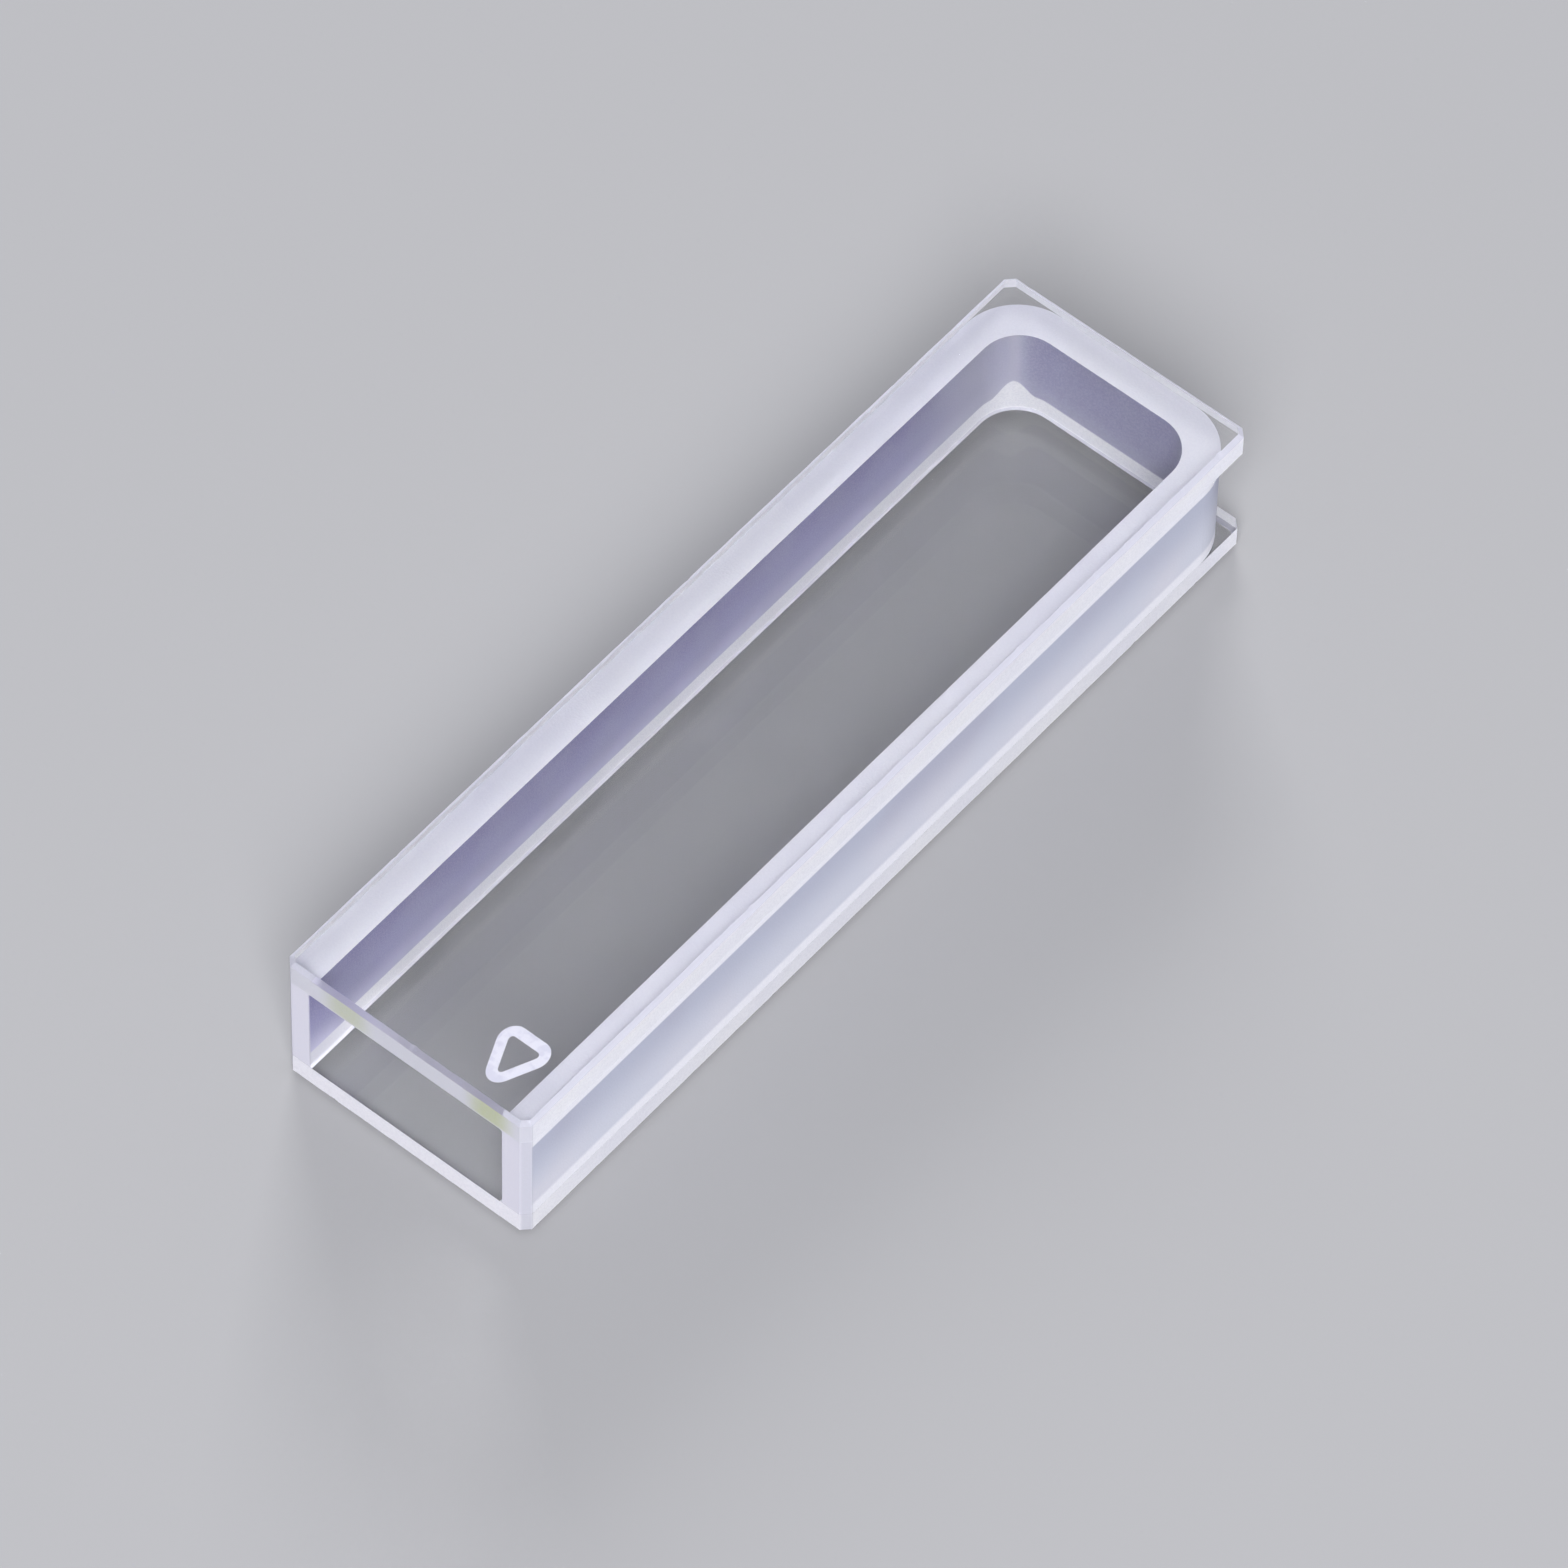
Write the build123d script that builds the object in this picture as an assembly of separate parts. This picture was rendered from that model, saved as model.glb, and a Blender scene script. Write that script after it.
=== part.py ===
"""Short-path quartz cuvette, lying on its back window with the mouth towards -Y.

A ground U-shaped frame is fused between two clear polished windows. The frame
sets the light path and closes both sides and one end. Its two closed-end
corners are rounded, and the square corners of the windows stand out past them.
Everywhere else the outer sides are ground flush, so that no seam stands out.
"""

import os

from build123d import *

# Overall sizes in millimetres
width = 12.5
length = 45.0
light_path = 5.0

# Wall thicknesses
window_thickness = 1.25
side_wall = 1.25
end_wall = 1.25

# Roundings of the frame at the closed end
outer_corner_radius = 2.75
inner_corner_radius = 2.0

# Fused glass that fills the inner angle between the frame and each window
seam_fillet = 0.12

# Ground bevels: round the outer face of a window, and on the upright corners
face_arris = 0.2
corner_clip = 0.35

# How far the tool that cuts the chamber runs out past the mouth
mouth_overrun = seam_fillet + 1.0

# Places in a list of faces that is sorted by height
LOWEST = 0
HIGHEST = -1

mouth_y = -length / 2
closed_y = length / 2
frame_bottom_z = window_thickness
frame_top_z = frame_bottom_z + light_path


def outline(outline_width, near_y, far_y):
    """Rectangle centred on the Y axis, from near_y to far_y."""
    sheet = Rectangle(outline_width, far_y - near_y, align=(Align.CENTER, Align.MIN))
    return Pos(0, near_y) * sheet


def upright(sheet, bottom_z, height):
    """Solid of the given height standing on an outline."""
    return extrude(Pos(0, 0, bottom_z) * sheet, height)


def flat_face_edges(solid, index):
    """Edges round the lowest or the highest face."""
    return solid.faces().sort_by(Axis.Z)[index].edges()


def chamber():
    """Sample space: rounded at the closed end, filleted along both windows, open at the mouth."""
    sheet = outline(width - 2 * side_wall, mouth_y - mouth_overrun, closed_y - end_wall)
    sheet = fillet(sheet.vertices().group_by(Axis.Y)[-1], inner_corner_radius)
    space = upright(sheet, frame_bottom_z, light_path)
    return fillet(flat_face_edges(space, LOWEST) + flat_face_edges(space, HIGHEST), seam_fillet)


def u_frame():
    """Ground spacer: two side walls and a rounded closed end, in one piece."""
    sheet = outline(width, mouth_y, closed_y)
    sheet = chamfer(sheet.vertices().group_by(Axis.Y)[0], corner_clip)
    sheet = fillet(sheet.vertices().group_by(Axis.Y)[-1], outer_corner_radius)
    return upright(sheet, frame_bottom_z, light_path) - chamber()


def window(bottom_z, outer_face):
    """Polished plate with clipped upright corners, bevelled round its outer face."""
    sheet = outline(width, mouth_y, closed_y)
    sheet = chamfer(sheet.vertices(), corner_clip)
    plate = upright(sheet, bottom_z, window_thickness)
    return chamfer(flat_face_edges(plate, outer_face), face_arris)


parts = {
    "u_frame": u_frame(),
    "back_window": window(0.0, LOWEST),
    "front_window": window(frame_top_z, HIGHEST),
}

os.makedirs("parts", exist_ok=True)
for node, solid in parts.items():
    solid.label = node
    export_step(solid, f"parts/{node}.step")
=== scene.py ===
"""Looks of the short-path quartz cuvette: clear windows with ground edges on a ground U-shaped frame."""

import math
import random

import bmesh
import bpy
from mathutils import Matrix, Vector


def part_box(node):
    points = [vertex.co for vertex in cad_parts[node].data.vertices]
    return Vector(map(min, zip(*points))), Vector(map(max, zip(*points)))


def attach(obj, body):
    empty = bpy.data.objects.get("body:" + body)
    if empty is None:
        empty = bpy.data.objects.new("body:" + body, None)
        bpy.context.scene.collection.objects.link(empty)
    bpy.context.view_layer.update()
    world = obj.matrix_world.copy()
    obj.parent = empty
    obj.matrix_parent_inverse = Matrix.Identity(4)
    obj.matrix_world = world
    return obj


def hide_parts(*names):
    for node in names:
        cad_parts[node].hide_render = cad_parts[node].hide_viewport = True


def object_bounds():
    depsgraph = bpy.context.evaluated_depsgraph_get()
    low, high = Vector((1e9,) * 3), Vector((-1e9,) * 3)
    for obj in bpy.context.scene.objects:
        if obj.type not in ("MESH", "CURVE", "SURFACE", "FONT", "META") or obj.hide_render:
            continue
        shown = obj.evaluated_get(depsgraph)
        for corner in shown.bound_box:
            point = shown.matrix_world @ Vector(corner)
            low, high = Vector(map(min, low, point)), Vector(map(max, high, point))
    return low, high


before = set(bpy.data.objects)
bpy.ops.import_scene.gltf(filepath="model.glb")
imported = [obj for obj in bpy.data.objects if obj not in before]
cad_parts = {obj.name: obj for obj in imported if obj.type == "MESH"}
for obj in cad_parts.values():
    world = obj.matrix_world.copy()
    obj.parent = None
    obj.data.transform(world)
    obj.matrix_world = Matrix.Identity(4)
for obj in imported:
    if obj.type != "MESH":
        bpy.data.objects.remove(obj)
cad_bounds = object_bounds()

MM = 0.001
LOW, HIGH = cad_bounds
BACK_LOW, BACK_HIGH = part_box("back_window")
FRONT_LOW, FRONT_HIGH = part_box("front_window")

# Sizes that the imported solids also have
FACE_ARRIS = 0.2 * MM
CORNER_CLIP = 0.35 * MM
SIDE_WALL = 1.25 * MM
END_WALL = 1.25 * MM
INNER_RADIUS = 2.0 * MM
OUTER_RADIUS = 2.75 * MM

# Air left between a window's mesh and the frame's mesh, so that their faces don't coincide
SEAM_GAP = 0.006 * MM

# Wear along the edges of a window. Of the drift at one station, a share is kept at the next.
EDGE_STEP = 0.22 * MM
FEWEST_STEPS = 2
ARRIS_WANDER = 0.008 * MM
DRIFT_KEPT = 0.7
CHIP_DEPTH = 0.06 * MM
SHALLOWEST_CHIP = 0.3
CHIP_SHARE = 0.02

# Etched mark near the mouth: a hollow triangle that points to the mouth, stretched along the cuvette
MARK_CENTRE = Vector((3.65, -20.05)) * MM
MARK_CORNERS = 3
MARK_CORNER_REACH = 0.73 * MM
MARK_OUTER_RADIUS = 0.62 * MM
MARK_STROKE = 0.46 * MM
MARK_STRETCH = Vector((0.92, 1.18))
MARK_ARC_STEPS = 10

# Material slots of a window
CLEAR, GROUND, HALF_CLEAR, ETCHED = range(4)

# Colours of the ground frame, as reflectances, with painted light and painted shade worked into most of
# them
TOP_WHITE = (0.68, 0.68, 0.74)
TOP_COOL = (0.65, 0.65, 0.73)
# Frame's ends at the mouth, in painted shade a little darker than the top, deeper on their clipped corners
POST_PAINTED_SHADE = (0.59, 0.58, 0.66)
POST_CLIP_PAINTED_SHADE = (0.49, 0.49, 0.56)
# Outer sides: bright bands of painted light at the windows, painted light at the foot and painted shade
# towards the top
SIDE_BAND_PAINTED_LIGHT = (0.84, 0.84, 0.9)
SIDE_FOOT_PAINTED_LIGHT = (0.66, 0.66, 0.74)
SIDE_TOP_PAINTED_SHADE = (0.43, 0.44, 0.55)
SIDE_BLUE = (0.53, 0.59, 0.71)
# Strip of painted light along the back window, weaker near the mouth
STRIP_PAINTED_LIGHT = (0.98, 0.98, 1.0)
STRIP_PAINTED_LIGHT_AT_MOUTH = (0.7, 0.7, 0.76)
# Chamber walls in painted shade, lighter at the foot and darker upwards
WALL_FOOT_PAINTED_SHADE = (0.57, 0.56, 0.73)
WALL_MIDDLE_PAINTED_SHADE = (0.31, 0.3, 0.49)
WALL_TOP_PAINTED_SHADE = (0.22, 0.21, 0.38)
WALL_CLOUD = (0.34, 0.34, 0.47)
# Painted light towards the closed end's corners, also used for a painted highlight on the bend
WALL_PAINTED_LIGHT = (0.5, 0.5, 0.57)
# Painted shade on the closed end's wall
WALL_SHADE = (0.07, 0.065, 0.17)
GRAIN_DARK = (0.55, 0.55, 0.65)

# Colours of the windows' ground edges and of the mark, with painted shade on the bevels and painted light
# and painted shade on the edges at the mouth
EDGE_WHITE = (0.95, 0.95, 0.99)
EDGE_COOL = (0.9, 0.9, 0.97)
# Painted shade on the bevels, deeper at the mouth
BEVEL_PAINTED_SHADE = (0.6, 0.6, 0.68)
BEVEL_MOUTH_PAINTED_SHADE = (0.46, 0.46, 0.53)
# Ends at the mouth: the back window's painted lighter, the front window's in painted shade, with painted
# shade on the clipped corners
MOUTH_FOOT_PAINTED_LIGHT = (0.85, 0.84, 0.9)
MOUTH_TOP_PAINTED_SHADE = (0.6, 0.6, 0.66)
EDGE_CLIP_PAINTED_SHADE = (0.6, 0.6, 0.67)
EDGE_TINT = (0.47, 0.5, 0.34)
HALF_CLEAR_TINT = (0.38, 0.37, 0.47)
MARK_WHITE = (0.62, 0.62, 0.7)
MARK_COOL = (0.54, 0.54, 0.64)

# How much of a colour is mixed in at its strongest
GRAIN_SHARE = 0.16
WALL_CLOUD_SHARE = 0.35
# Shares of the painted light, the painted highlight and the painted shade on the chamber walls
PAINTED_LIGHT_SHARE = 0.62
PAINTED_HIGHLIGHT_SHARE = 0.4
END_SHADE_SHARE = 0.4
SIDE_CLOUD_SHARE = 0.3
LEFT_TINT_SHARE = 0.7

# Light that comes through a ground surface from the far side, as a share
FRAME_THROUGH = 0.15
EDGE_THROUGH = 0.35

# Finish of the quartz
QUARTZ_IOR = 1.458
GROUND_ROUGHNESS = 0.55
HALF_CLEAR_ROUGHNESS = 0.3
HALF_CLEAR_TRANSMISSION = 0.7

# Grain of a ground surface: cells to a metre, detail, depth, and where the noise starts and ends to darken
GRAIN_SCALE = 11000.0
GRAIN_DETAIL = 3.0
GRAIN_DEPTH = 0.012 * MM
GRAIN_DARKENS = (0.62, 0.35)

# Clouds: cells to a metre, where the noise starts and ends to show, and detail
TOP_CLOUDS = (120.0, 0.35, 0.65, 2.0)
WALL_CLOUDS = (420.0, 0.35, 0.7, 3.0)
SIDE_CLOUDS = (160.0, 0.4, 0.65, 2.0)
EDGE_CLOUDS = (160.0, 0.35, 0.65, 2.0)
MARK_CLOUDS = (2500.0, 0.4, 0.6, 2.0)

# Where a face counts as upright or as level, going by how level it is
UPRIGHT = (0.6, 0.4)
BEVELLED = (0.5, 0.65)

# Places on the cuvette, in millimetres, as all lengths from here on to the camera's.
# A pair is where a change of colour starts and where it ends.
MOUTH = LOW.y / MM
CLIP_X = (HIGH.x - CORNER_CLIP) / MM
CLIP_Y = (LOW.y + CORNER_CLIP) / MM
BEHIND_MOUTH = (MOUTH + 0.02, MOUTH + 0.1)
BEHIND_CLIP = (CLIP_Y - 0.05, CLIP_Y + 0.1)
BEFORE_CLIP = (CLIP_Y + 0.1, CLIP_Y - 0.05)
ON_CLIP = (CLIP_X - 0.05, CLIP_X + 0.1)

# Middle of the wall round the bend at the closed end, as a centre and a radius
WALL_MIDDLE_RADIUS = (INNER_RADIUS + OUTER_RADIUS) / 2 / MM
BEND_MIDDLE = Vector((
    (HIGH.x - SIDE_WALL / 2) / MM - WALL_MIDDLE_RADIUS,
    (HIGH.y - END_WALL / 2) / MM - WALL_MIDDLE_RADIUS,
))
WITHIN_WALL = (WALL_MIDDLE_RADIUS + 0.1, WALL_MIDDLE_RADIUS - 0.1)

# Middle of the chamber's rounded corner, and how far round it the painted highlight and the rise of the
# painted light strip reach
CORNER_INSET = INNER_RADIUS * (1 - math.sqrt(0.5))
CORNER_MIDDLE = Vector((
    (HIGH.x - SIDE_WALL - CORNER_INSET) / MM,
    (HIGH.y - END_WALL - CORNER_INSET) / MM,
))
PAINTED_HIGHLIGHT_REACH = (0.45, 0.05)
STRIP_RISE_REACH = (1.0, 0.0)

# Chamber walls in painted shade that deepens upwards, with a bright strip of painted light along the back
# window that rises in the corners and dims towards the mouth, painted light near the closed end and more
# painted shade on it
STRIP_TOP = 2.15
STRIP_RISE = 0.9
STRIP_EDGE = (-0.06, 0.06)
STRIP_DIMS = (-18.5, -22.0)
WALL_PAINTED_SHADE_DEEPENS = (2.0, 3.7)
WALL_PAINTED_SHADE_DEEPENS_MORE = (3.4, 5.9)
PAINTED_LIGHT_STARTS = (14.0, 19.0)
PAINTED_LIGHT_ENDS = (22.4, 20.2)
END_SHADE = (20.7, 21.2)

# Outer sides of the frame, painted shade between two bright bands of painted light
SIDE_PAINTED_SHADE_DEEPENS = (2.2, 5.6)
SIDE_FOOT_BAND = (1.75, 2.05)
SIDE_TOP_BAND = (5.93, 5.8)

# Windows' edges at the mouth, painted lighter at the back window and in painted shade higher up, with a
# tint near each end of the upper one
MOUTH_PAINTED_SHADE_DEEPENS = (1.5, 6.0)
TINTED_HEIGHT = (6.2, 6.4)
LEFT_TINT = -3.0
LEFT_TINT_REACH = (1.6, 0.3)
RIGHT_TINT = 4.35
RIGHT_TINT_REACH = (1.5, 0.3)

# Camera, as angles and distances in the row frame
CAMERA_AZIMUTH = math.radians(38.6)
CAMERA_ELEVATION = math.radians(54.1)
CAMERA_ROLL = math.radians(1.5)
CAMERA_DISTANCE = 541 * MM
CAMERA_AIM = Vector((1.56, -1.14, 3.75)) * MM
CAMERA_LENS = 311.0
CAMERA_SENSOR = 36.0
CAMERA_NEAR = 0.01
CAMERA_FAR = 10.0

# Floor and studio light, in metres and watts
FLOOR_COLOUR = (0.27, 0.27, 0.28)
FLOOR_ROUGHNESS = 0.8
FLOOR_HALF_SIZE = 1.5
FLOOR_Z = -0.02 * MM
STUDIO_COLOUR = (0.93, 0.94, 1.0)
STUDIO_STRENGTH = 0.66
KEY_PLACE = Vector((0.36, -0.48, 0.58))
KEY_SIZE = 0.4
KEY_POWER = 9.8
RIM_PLACE = Vector((-0.5, 0.55, 0.28))
RIM_SIZE = 0.3
RIM_POWER = 5.2

chance = random.Random(11)


# Shader nodes


class Shader:
    """Short calls for the nodes of one material."""

    def __init__(self, name):
        self.material = bpy.data.materials.new(name)
        self.material.use_nodes = True
        self.nodes = self.material.node_tree.nodes
        self.surface = self.nodes["Principled BSDF"]

    def link(self, value, socket):
        """Feeds the socket from another socket, or sets it to a plain value."""
        if isinstance(value, bpy.types.NodeSocket):
            self.material.node_tree.links.new(value, socket)
        else:
            socket.default_value = value

    def math(self, operation, first, second=0.0):
        node = self.nodes.new("ShaderNodeMath")
        node.operation = operation
        self.link(first, node.inputs[0])
        self.link(second, node.inputs[1])
        return node.outputs[0]

    def product(self, *values):
        result = values[0]
        for value in values[1:]:
            result = self.math("MULTIPLY", result, value)
        return result

    def absolute(self, value):
        return self.math("ABSOLUTE", value)

    def distance(self, across, along):
        squares = self.math("ADD", self.product(across, across), self.product(along, along))
        return self.math("SQRT", squares)

    def ramp(self, value, start, end):
        """0 up to start, 1 from end on, smooth between them. Start may be the larger one."""
        node = self.nodes.new("ShaderNodeMapRange")
        node.interpolation_type = "SMOOTHSTEP"
        self.link(value, node.inputs["Value"])
        node.inputs["From Min"].default_value = min(start, end)
        node.inputs["From Max"].default_value = max(start, end)
        if start < end:
            return node.outputs["Result"]
        return self.math("SUBTRACT", 1.0, node.outputs["Result"])

    def near(self, value, middle, start, end):
        """Ramp on the distance from a middle value."""
        return self.ramp(self.absolute(self.math("SUBTRACT", value, middle)), start, end)

    def blend(self, factor, first, second):
        """First colour where factor is 0, second colour where it is 1."""
        node = self.nodes.new("ShaderNodeMix")
        node.data_type = "RGBA"
        self.link(factor, node.inputs["Factor"])
        for value, socket in ((first, node.inputs[6]), (second, node.inputs[7])):
            self.link(value if isinstance(value, bpy.types.NodeSocket) else (*value, 1.0), socket)
        return node.outputs[2]

    def on_object(self):
        """Place on the object, in metres."""
        return self.nodes.new("ShaderNodeTexCoord").outputs["Object"]

    def place(self):
        """X, Y and Z on the object, in millimetres."""
        node = self.nodes.new("ShaderNodeSeparateXYZ")
        self.link(self.on_object(), node.inputs[0])
        return [self.math("MULTIPLY", output, 1 / MM) for output in node.outputs]

    def noise(self, scale, detail):
        """Noise about 0.5, with scale cells to a metre."""
        node = self.nodes.new("ShaderNodeTexNoise")
        node.inputs["Scale"].default_value = scale
        node.inputs["Detail"].default_value = detail
        self.link(self.on_object(), node.inputs["Vector"])
        return node.outputs["Fac"]

    def clouds(self, scale, start, end, detail):
        """Soft patches from 0 to 1, with scale cells to a metre."""
        return self.ramp(self.noise(scale, detail), start, end)

    def levelness(self):
        """1 on a level face, 0 on an upright one, and about 0.7 on a bevel between them."""
        node = self.nodes.new("ShaderNodeSeparateXYZ")
        self.link(self.nodes.new("ShaderNodeNewGeometry").outputs["Normal"], node.inputs[0])
        return self.absolute(node.outputs[2])

    def bump(self, height, depth):
        node = self.nodes.new("ShaderNodeBump")
        node.inputs["Strength"].default_value = 1.0
        node.inputs["Distance"].default_value = depth
        self.link(height, node.inputs["Height"])
        return node.outputs["Normal"]

    def ground(self, colour, share_through):
        """Finish of a ground surface: fine grain, low gloss, and some light from the far side."""
        grain = self.noise(GRAIN_SCALE, GRAIN_DETAIL)
        darker = self.product(self.ramp(grain, *GRAIN_DARKENS), GRAIN_SHARE)
        colour = self.blend(darker, colour, GRAIN_DARK)
        self.link(colour, self.surface.inputs["Base Color"])
        self.surface.inputs["Roughness"].default_value = GROUND_ROUGHNESS
        self.surface.inputs["IOR"].default_value = QUARTZ_IOR
        self.link(self.bump(grain, GRAIN_DEPTH), self.surface.inputs["Normal"])
        self.let_through(share_through, colour)
        return self.material

    def let_through(self, share, colour):
        """Mixes in light that comes through from the far side."""
        through = self.nodes.new("ShaderNodeBsdfTranslucent")
        self.link(colour, through.inputs["Color"])
        mix = self.nodes.new("ShaderNodeMixShader")
        mix.inputs[0].default_value = share
        self.link(self.surface.outputs[0], mix.inputs[1])
        self.link(through.outputs[0], mix.inputs[2])
        self.link(mix.outputs[0], self.nodes["Material Output"].inputs["Surface"])

    def clear(self, tint, roughness, transmission):
        """Finish of a surface that shows what lies behind it."""
        self.surface.inputs["Base Color"].default_value = (*tint, 1.0)
        self.surface.inputs["Roughness"].default_value = roughness
        self.surface.inputs["IOR"].default_value = QUARTZ_IOR
        self.surface.inputs["Transmission Weight"].default_value = transmission
        return self.material


# Materials


def polished_quartz():
    return Shader("polished_quartz").clear((1.0, 1.0, 1.0), 0.0, 1.0)


def half_clear_quartz():
    """Narrow bevel over the mouth, ground less deeply than the sides, so that it stays half clear."""
    shader = Shader("half_clear_quartz")
    return shader.clear(HALF_CLEAR_TINT, HALF_CLEAR_ROUGHNESS, HALF_CLEAR_TRANSMISSION)


def etched_quartz():
    """Thin frosting of the mark on the front window."""
    shader = Shader("etched_quartz")
    colour = shader.blend(shader.clouds(*MARK_CLOUDS), MARK_WHITE, MARK_COOL)
    return shader.ground(colour, EDGE_THROUGH)


def painted_light_strip(shader, from_corner, y, z, wall):
    """The wall's colour with a bright strip of painted light along the back window, where the two are
    fused; it fades towards the mouth.
    """
    rise = shader.product(shader.ramp(from_corner, *STRIP_RISE_REACH), STRIP_RISE)
    above_strip = shader.math("SUBTRACT", z, shader.math("ADD", STRIP_TOP, rise))
    # painted light along the back window, fading towards the mouth
    strip = shader.blend(shader.ramp(y, *STRIP_DIMS), STRIP_PAINTED_LIGHT, STRIP_PAINTED_LIGHT_AT_MOUTH)
    return shader.blend(shader.ramp(above_strip, *STRIP_EDGE), strip, wall)


def chamber_wall(shader, x, y, z):
    """Colour of the walls round the sample: lavender in painted shade that deepens upwards, paler towards
    the closed end's corners with painted light and a painted highlight, and more painted shade on the
    closed end.
    """
    from_corner = shader.distance(
        shader.math("SUBTRACT", shader.absolute(x), CORNER_MIDDLE.x),
        shader.math("SUBTRACT", y, CORNER_MIDDLE.y),
    )
    clouds = shader.product(shader.clouds(*WALL_CLOUDS), WALL_CLOUD_SHARE)
    # painted light towards the closed end's corners, a painted highlight on the bend, and painted shade on
    # the closed end
    painted_light = shader.product(shader.ramp(y, *PAINTED_LIGHT_STARTS), shader.ramp(y, *PAINTED_LIGHT_ENDS), PAINTED_LIGHT_SHARE)
    painted_highlight = shader.product(shader.ramp(from_corner, *PAINTED_HIGHLIGHT_REACH), PAINTED_HIGHLIGHT_SHARE)
    shade = shader.product(shader.ramp(y, *END_SHADE), END_SHADE_SHARE)

    # painted shade on the chamber walls, deepening upwards
    wall = shader.blend(shader.ramp(z, *WALL_PAINTED_SHADE_DEEPENS), WALL_FOOT_PAINTED_SHADE, WALL_MIDDLE_PAINTED_SHADE)
    wall = shader.blend(shader.ramp(z, *WALL_PAINTED_SHADE_DEEPENS_MORE), wall, WALL_TOP_PAINTED_SHADE)
    wall = shader.blend(clouds, wall, WALL_CLOUD)
    wall = shader.blend(painted_light, wall, WALL_PAINTED_LIGHT)
    wall = shader.blend(painted_highlight, wall, WALL_PAINTED_LIGHT)
    wall = shader.blend(shade, wall, WALL_SHADE)
    return painted_light_strip(shader, from_corner, y, z, wall)


def outer_side(shader, z):
    """Colour of the frame's outer sides: bright bands of painted light at the windows, and painted shade
    between them that deepens upwards.
    """
    clouds = shader.product(shader.clouds(*SIDE_CLOUDS), SIDE_CLOUD_SHARE)
    # painted light at the foot and painted shade upwards, with bands of painted light at the windows
    body = shader.blend(shader.ramp(z, *SIDE_PAINTED_SHADE_DEEPENS), SIDE_FOOT_PAINTED_LIGHT, SIDE_TOP_PAINTED_SHADE)
    body = shader.blend(clouds, body, SIDE_BLUE)
    between_bands = shader.product(shader.ramp(z, *SIDE_FOOT_BAND), shader.ramp(z, *SIDE_TOP_BAND))
    return shader.blend(between_bands, SIDE_BAND_PAINTED_LIGHT, body)


def inner_half(shader, x, y):
    """1 on the chamber's side of the wall's middle, 0 on its outer side."""
    past_sides = shader.math("SUBTRACT", shader.absolute(x), BEND_MIDDLE.x)
    past_end = shader.math("SUBTRACT", y, BEND_MIDDLE.y)
    from_bend = shader.distance(
        shader.math("MAXIMUM", past_sides, 0.0), shader.math("MAXIMUM", past_end, 0.0),
    )
    return shader.ramp(from_bend, *WITHIN_WALL)


def ground_frame():
    """Fine ground quartz, white with a lavender cast, with painted light and painted shade on each part of
    the frame.
    """
    shader = Shader("ground_frame")
    x, y, z = shader.place()
    upright = shader.ramp(shader.levelness(), *UPRIGHT)
    within = inner_half(shader, x, y)
    without = shader.math("SUBTRACT", 1.0, within)
    inside = shader.product(within, shader.ramp(y, *BEHIND_MOUTH), upright)
    outside = shader.product(without, shader.ramp(y, *BEHIND_CLIP), upright)

    colour = shader.blend(shader.clouds(*TOP_CLOUDS), TOP_WHITE, TOP_COOL)
    # painted shade on the posts, deeper on their clipped corners
    post = shader.blend(shader.ramp(shader.absolute(x), *ON_CLIP), POST_PAINTED_SHADE, POST_CLIP_PAINTED_SHADE)
    colour = shader.blend(upright, colour, post)
    colour = shader.blend(outside, colour, outer_side(shader, z))
    colour = shader.blend(inside, colour, chamber_wall(shader, x, y, z))
    return shader.ground(colour, FRAME_THROUGH)


def edge_tint(shader, x, z):
    """How strongly the front window's edge is tinted, near each end of the mouth."""
    left = shader.product(shader.near(x, LEFT_TINT, *LEFT_TINT_REACH), LEFT_TINT_SHARE)
    right = shader.near(x, RIGHT_TINT, *RIGHT_TINT_REACH)
    return shader.product(shader.ramp(z, *TINTED_HEIGHT), shader.math("MAXIMUM", left, right))


def ground_edge():
    """Ground edges of the windows: white, with painted shade on the bevels and clipped corners; over the
    mouth the back window's edge is painted lighter and the front window's edge dimmer with painted shade.
    """
    shader = Shader("ground_edge")
    x, y, z = shader.place()
    at_mouth = shader.ramp(y, *BEFORE_CLIP)
    # painted light low on the ends at the mouth, painted shade higher up and on the clipped corners
    mouth = shader.blend(shader.ramp(z, *MOUTH_PAINTED_SHADE_DEEPENS), MOUTH_FOOT_PAINTED_LIGHT, MOUTH_TOP_PAINTED_SHADE)
    mouth = shader.blend(shader.ramp(shader.absolute(x), *ON_CLIP), mouth, EDGE_CLIP_PAINTED_SHADE)
    mouth = shader.blend(edge_tint(shader, x, z), mouth, EDGE_TINT)
    # painted shade on the bevels, deeper at the mouth
    bevel = shader.blend(at_mouth, BEVEL_PAINTED_SHADE, BEVEL_MOUTH_PAINTED_SHADE)

    colour = shader.blend(shader.clouds(*EDGE_CLOUDS), EDGE_WHITE, EDGE_COOL)
    colour = shader.blend(at_mouth, colour, mouth)
    colour = shader.blend(shader.ramp(shader.levelness(), *BEVELLED), colour, bevel)
    return shader.ground(colour, EDGE_THROUGH)


# Pieces


def link(obj):
    bpy.context.scene.collection.objects.link(obj)
    return obj


def new_piece(name, bm, materials):
    """Object of that name from a bmesh, with its normals outward and one slot for each material."""
    bmesh.ops.recalc_face_normals(bm, faces=bm.faces)
    mesh = bpy.data.meshes.new(name)
    bm.to_mesh(mesh)
    bm.free()
    for material in materials:
        mesh.materials.append(material)
    return link(bpy.data.objects.new(name, mesh))


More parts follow.
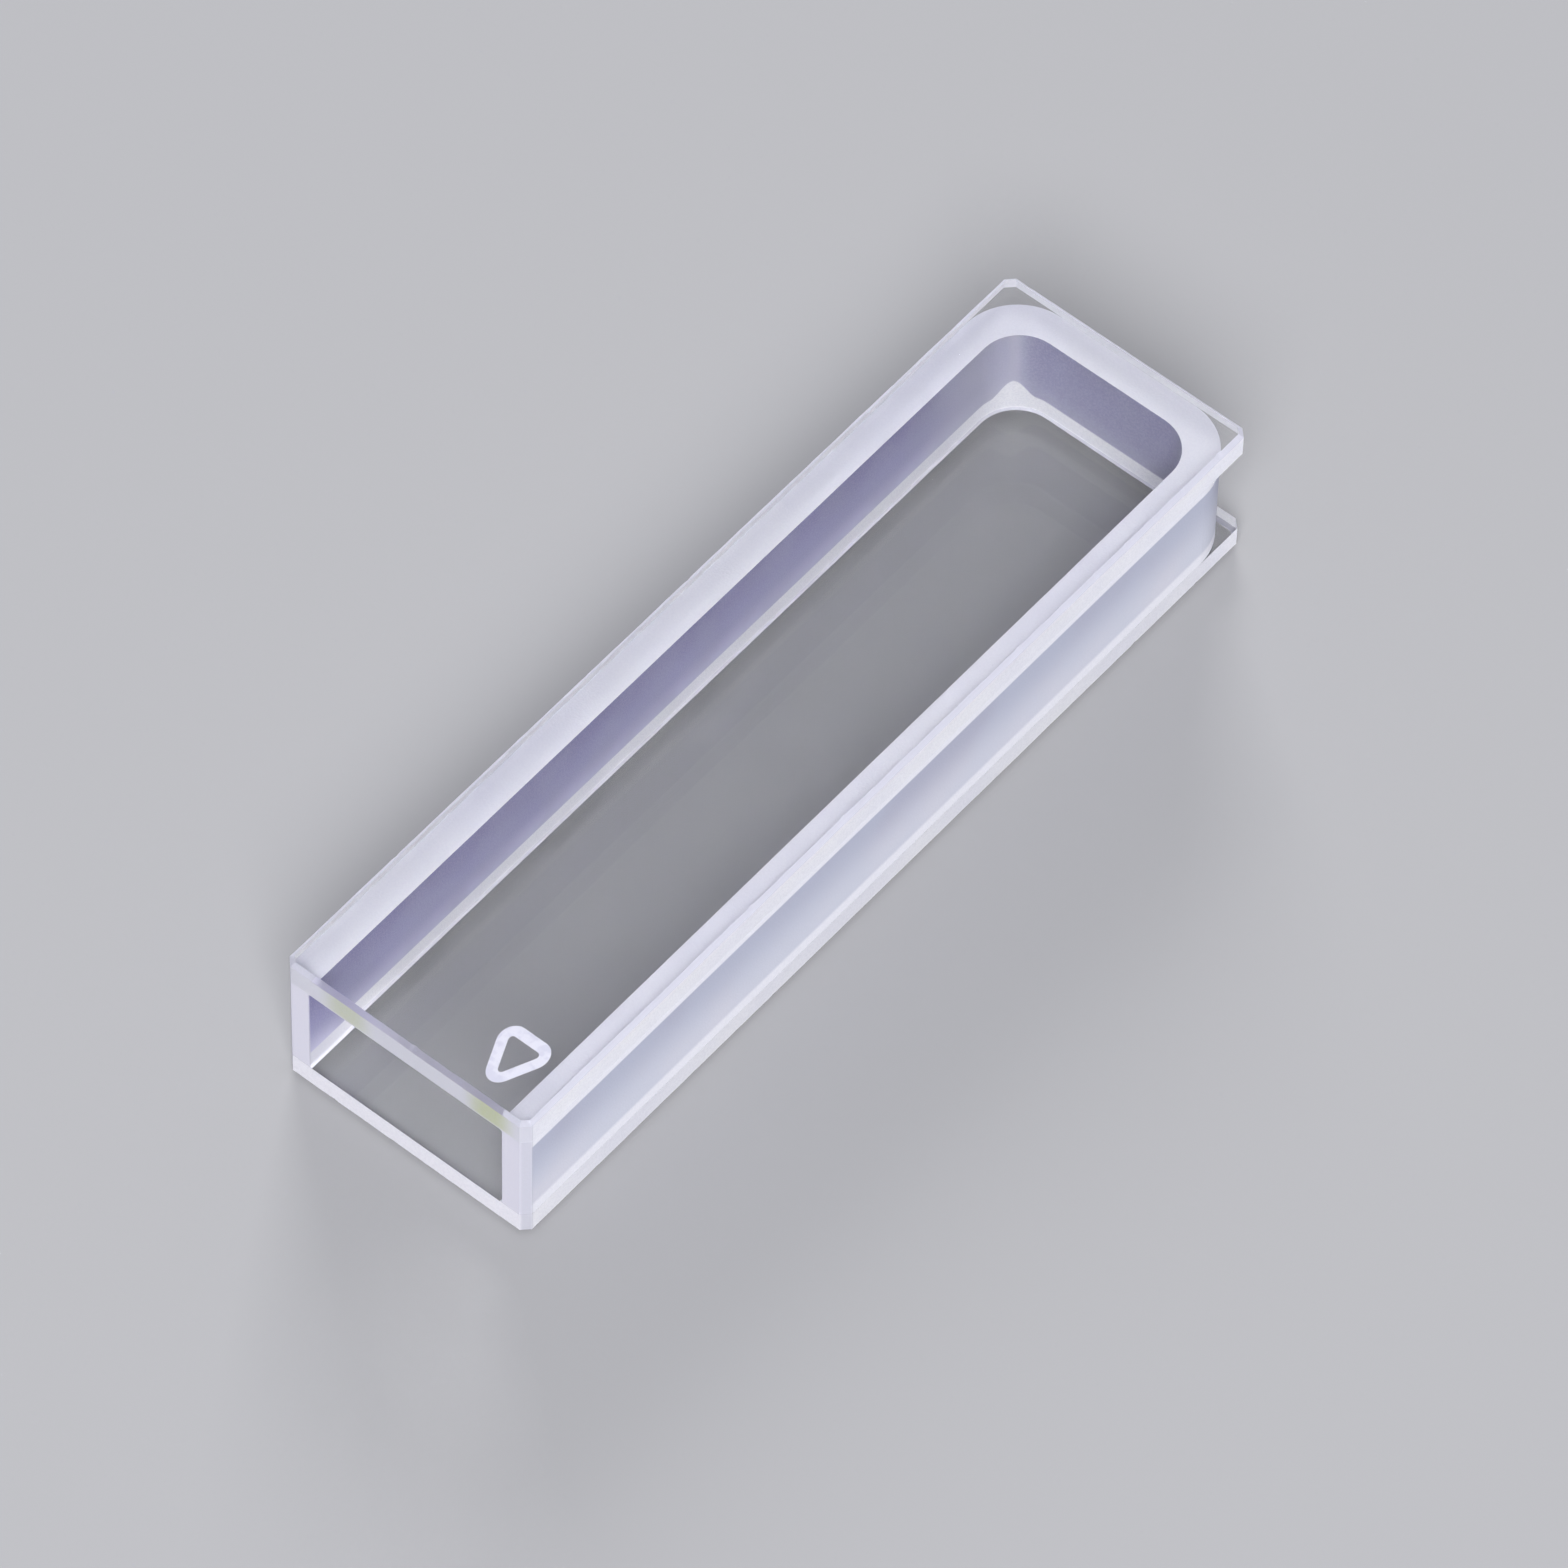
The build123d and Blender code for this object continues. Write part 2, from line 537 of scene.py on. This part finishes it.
def clipped_corners(inset):
    """Corners of the cuvette's outline, moved inward by inset, from the mouth's left end round."""
    clip = CORNER_CLIP - (2 - math.sqrt(2)) * inset
    x0, x1 = LOW.x + inset, HIGH.x - inset
    y0, y1 = LOW.y + inset, HIGH.y - inset
    return [
        Vector((x0 + clip, y0)), Vector((x1 - clip, y0)), Vector((x1, y0 + clip)), Vector((x1, y1 - clip)),
        Vector((x1 - clip, y1)), Vector((x0 + clip, y1)), Vector((x0, y1 - clip)), Vector((x0, y0 + clip)),
    ]


def along_edges():
    """Stations round the outline, each as the number of its edge and how far along that edge it lies."""
    corners = clipped_corners(0.0)
    stations = []
    for i, corner in enumerate(corners):
        length = (corners[(i + 1) % len(corners)] - corner).length
        steps = max(FEWEST_STEPS, round(length / EDGE_STEP))
        stations += [(i, step / steps) for step in range(steps)]
    return stations


def on_outline(station, inset):
    """Place of a station on the outline moved inward by inset."""
    edge, share = station
    corners = clipped_corners(inset)
    return corners[edge].lerp(corners[(edge + 1) % len(corners)], share)


def worn(count):
    """Small offsets round an edge, with a chip here and there."""
    offsets = []
    drift = 0.0
    for _ in range(count):
        drift = DRIFT_KEPT * drift + chance.uniform(-ARRIS_WANDER, ARRIS_WANDER)
        chip = chance.uniform(SHALLOWEST_CHIP, 1.0) * CHIP_DEPTH if chance.random() < CHIP_SHARE else 0.0
        offsets.append(drift + chip)
    return offsets


def ring(bm, stations, insets, z):
    """Vertices at one height, one for each station and its own inset."""
    places = [on_outline(station, inset) for station, inset in zip(stations, insets)]
    return [bm.verts.new((place.x, place.y, z)) for place in places]


def bridge(bm, lower, upper, slots):
    """Band of faces between two rings, with one material slot for each face."""
    for i, slot in enumerate(slots):
        j = (i + 1) % len(slots)
        bm.faces.new((lower[i], lower[j], upper[j], upper[i])).material_index = slot


def bevel_slot(station):
    """The bevel is half clear over the open mouth, and ground everywhere else."""
    place = on_outline(station, 0.0)
    over_mouth = place.y == LOW.y and abs(place.x) < HIGH.x - SIDE_WALL
    return HALF_CLEAR if over_mouth else GROUND


def mark_loop(bm, radius, z):
    """Closed outline of the etched triangle: an arc of that radius round each of its corners."""
    loop = []
    turn = math.tau / MARK_CORNERS
    for corner in range(MARK_CORNERS):
        towards = corner * turn - math.pi / 2
        centre = MARK_CORNER_REACH * Vector((math.cos(towards), math.sin(towards)))
        for step in range(MARK_ARC_STEPS + 1):
            angle = towards + (step / MARK_ARC_STEPS - 0.5) * turn
            offset = centre + radius * Vector((math.cos(angle), math.sin(angle)))
            place = MARK_CENTRE + offset * MARK_STRETCH
            loop.append(bm.verts.new((place.x, place.y, z)))
    return loop


def loop_edges(bm, loop):
    return [bm.edges.get((a, b)) or bm.edges.new((a, b)) for a, b in zip(loop, loop[1:] + loop[:1])]


def fill(bm, loops, slot):
    """Level face within the first loop, less the second one if there are two."""
    edges = [edge for loop in loops for edge in loop_edges(bm, loop)]
    made = bmesh.ops.triangle_fill(bm, edges=edges, use_beauty=True, use_dissolve=False)
    for item in made["geom"]:
        if isinstance(item, bmesh.types.BMFace):
            item.material_index = slot


def outer_face(bm, rim, z, marked):
    """Level face inside the bevel, with the etched mark or without it."""
    if not marked:
        fill(bm, [rim], CLEAR)
        return
    outside = mark_loop(bm, MARK_OUTER_RADIUS, z)
    inside = mark_loop(bm, MARK_OUTER_RADIUS - MARK_STROKE, z)
    fill(bm, [rim, outside], CLEAR)
    fill(bm, [outside, inside], ETCHED)
    fill(bm, [inside], CLEAR)


def window(name, node, inner_z, outer_z, marked, materials):
    """Polished plate: level faces, ground sides and a worn bevel round its outer face."""
    stations = along_edges()
    count = len(stations)
    up = 1 if outer_z > inner_z else -1
    bm = bmesh.new()
    inner = ring(bm, stations, [0.0] * count, inner_z + up * SEAM_GAP)
    shoulder = ring(bm, stations, [0.0] * count, outer_z - up * FACE_ARRIS)
    for vertex, offset in zip(shoulder, worn(count)):
        vertex.co.z -= up * offset
    rim = ring(bm, stations, [FACE_ARRIS + offset for offset in worn(count)], outer_z)
    bridge(bm, inner, shoulder, [GROUND] * count)
    bridge(bm, shoulder, rim, [bevel_slot(station) for station in stations])
    fill(bm, [inner], CLEAR)
    outer_face(bm, rim, outer_z, marked)
    piece = new_piece(name, bm, materials)
    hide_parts(node)
    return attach(piece, "root")


# Stage


def pale_floor():
    shader = Shader("pale_floor")
    shader.surface.inputs["Base Color"].default_value = (*FLOOR_COLOUR, 1.0)
    shader.surface.inputs["Roughness"].default_value = FLOOR_ROUGHNESS
    return shader.material


def floor():
    bm = bmesh.new()
    bmesh.ops.create_grid(bm, x_segments=1, y_segments=1, size=FLOOR_HALF_SIZE)
    bmesh.ops.translate(bm, verts=bm.verts, vec=(0.0, 0.0, FLOOR_Z))
    new_piece("floor", bm, [pale_floor()])


def studio():
    """Even light from all round."""
    world = bpy.data.worlds.new("studio")
    bpy.context.scene.world = world
    world.use_nodes = True
    background = world.node_tree.nodes["Background"]
    background.inputs["Color"].default_value = (*STUDIO_COLOUR, 1.0)
    background.inputs["Strength"].default_value = STUDIO_STRENGTH


def area_light(name, place, size, power):
    """Square lamp that points at the cuvette."""
    light = bpy.data.lights.new(name, "AREA")
    light.size = size
    light.energy = power
    lamp = link(bpy.data.objects.new(name, light))
    lamp.location = place
    lamp.rotation_euler = (-place).to_track_quat("-Z", "Y").to_euler()


def camera():
    back = Vector((
        math.sin(CAMERA_AZIMUTH) * math.cos(CAMERA_ELEVATION),
        -math.cos(CAMERA_AZIMUTH) * math.cos(CAMERA_ELEVATION),
        math.sin(CAMERA_ELEVATION),
    ))
    data = bpy.data.cameras.new("camera")
    data.lens = CAMERA_LENS
    data.sensor_width = CAMERA_SENSOR
    data.clip_start = CAMERA_NEAR
    data.clip_end = CAMERA_FAR
    obj = link(bpy.data.objects.new("camera", data))
    obj.location = CAMERA_AIM + back * CAMERA_DISTANCE
    turn = (-back).to_track_quat("-Z", "Y").to_matrix().to_4x4()
    obj.rotation_euler = (turn @ Matrix.Rotation(CAMERA_ROLL, 4, "Z")).to_euler()
    bpy.context.scene.camera = obj


u_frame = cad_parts["u_frame"]
u_frame.data.materials.clear()
u_frame.data.materials.append(ground_frame())
glass = [polished_quartz(), ground_edge(), half_clear_quartz(), etched_quartz()]
window("back_window_glass", "back_window", BACK_HIGH.z, BACK_LOW.z, False, glass)
window("front_window_glass", "front_window", FRONT_LOW.z, FRONT_HIGH.z, True, glass)

floor()
studio()
area_light("key", KEY_PLACE, KEY_SIZE, KEY_POWER)
area_light("rim", RIM_PLACE, RIM_SIZE, RIM_POWER)
camera()
bpy.context.scene.view_settings.view_transform = "Standard"
bpy.context.scene.cycles.blur_glossy = 0.0
